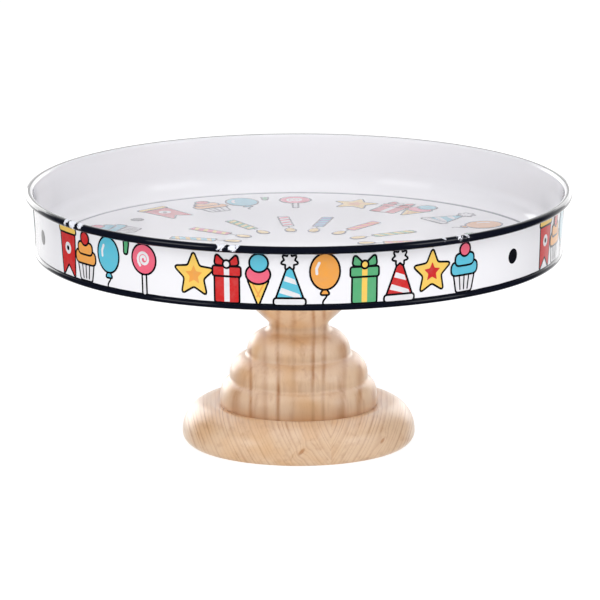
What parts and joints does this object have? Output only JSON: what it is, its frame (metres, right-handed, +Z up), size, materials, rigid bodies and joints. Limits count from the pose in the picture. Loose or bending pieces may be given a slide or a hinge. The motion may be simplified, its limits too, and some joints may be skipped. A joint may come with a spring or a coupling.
{
  "type": "cake stand",
  "caption": "Round enamelled tray with an upright rim, screwed to a turned wooden pedestal, for holding a cake.",
  "frame": {"origin": "centre of the underside, where the felt pad meets the table", "axes": "+Z up along the pedestal's axis, -Y towards the front of the printed band"},
  "size_m": [0.305, 0.305, 0.1445],
  "materials": {
    "white_enamel": "glossy vitreous enamel, white inside and out, with black enamel on the rolled rim and the bottom bead and coloured printed motifs",
    "steel": "bare drawn steel",
    "zinc": "bright zinc plating",
    "rubber": "matt black",
    "pine": "pale turned pine, sanded smooth, clear satin seal",
    "beech": "plain unfinished beech",
    "felt": "dark pressed felt"
  },
  "bodies": {
    "pedestal": {"stem": "pine", "base": "pine", "centre_dowel": "beech", "hanger_bolt": "zinc", "base_screw_1": "zinc", "base_screw_2": "zinc", "base_screw_3": "zinc", "felt_pad": "felt"},
    "washer": {"rubber_washer": "rubber"},
    "tray": {"side_band": "white_enamel", "rim_wire": "steel", "floor_pan": "white_enamel", "mounting_plate": "steel", "barrel_nut": "zinc"}
  },
  "joints": [
    {"name": "tray_lift", "type": "slide", "parent": "pedestal", "child": "washer", "axis": [0, 0, 1], "range_m": [0, 0.0101]},
    {"name": "tray_unscrew", "type": "hinge", "parent": "washer", "child": "tray", "pos_m": [0, 0, 0.1], "axis": [0, 0, 1], "range_deg": [0, 2880]}
  ],
  "couplings": [
    {"joint": "tray_lift", "follows": "tray_unscrew", "m_per_rad": 0.00019894}
  ]
}
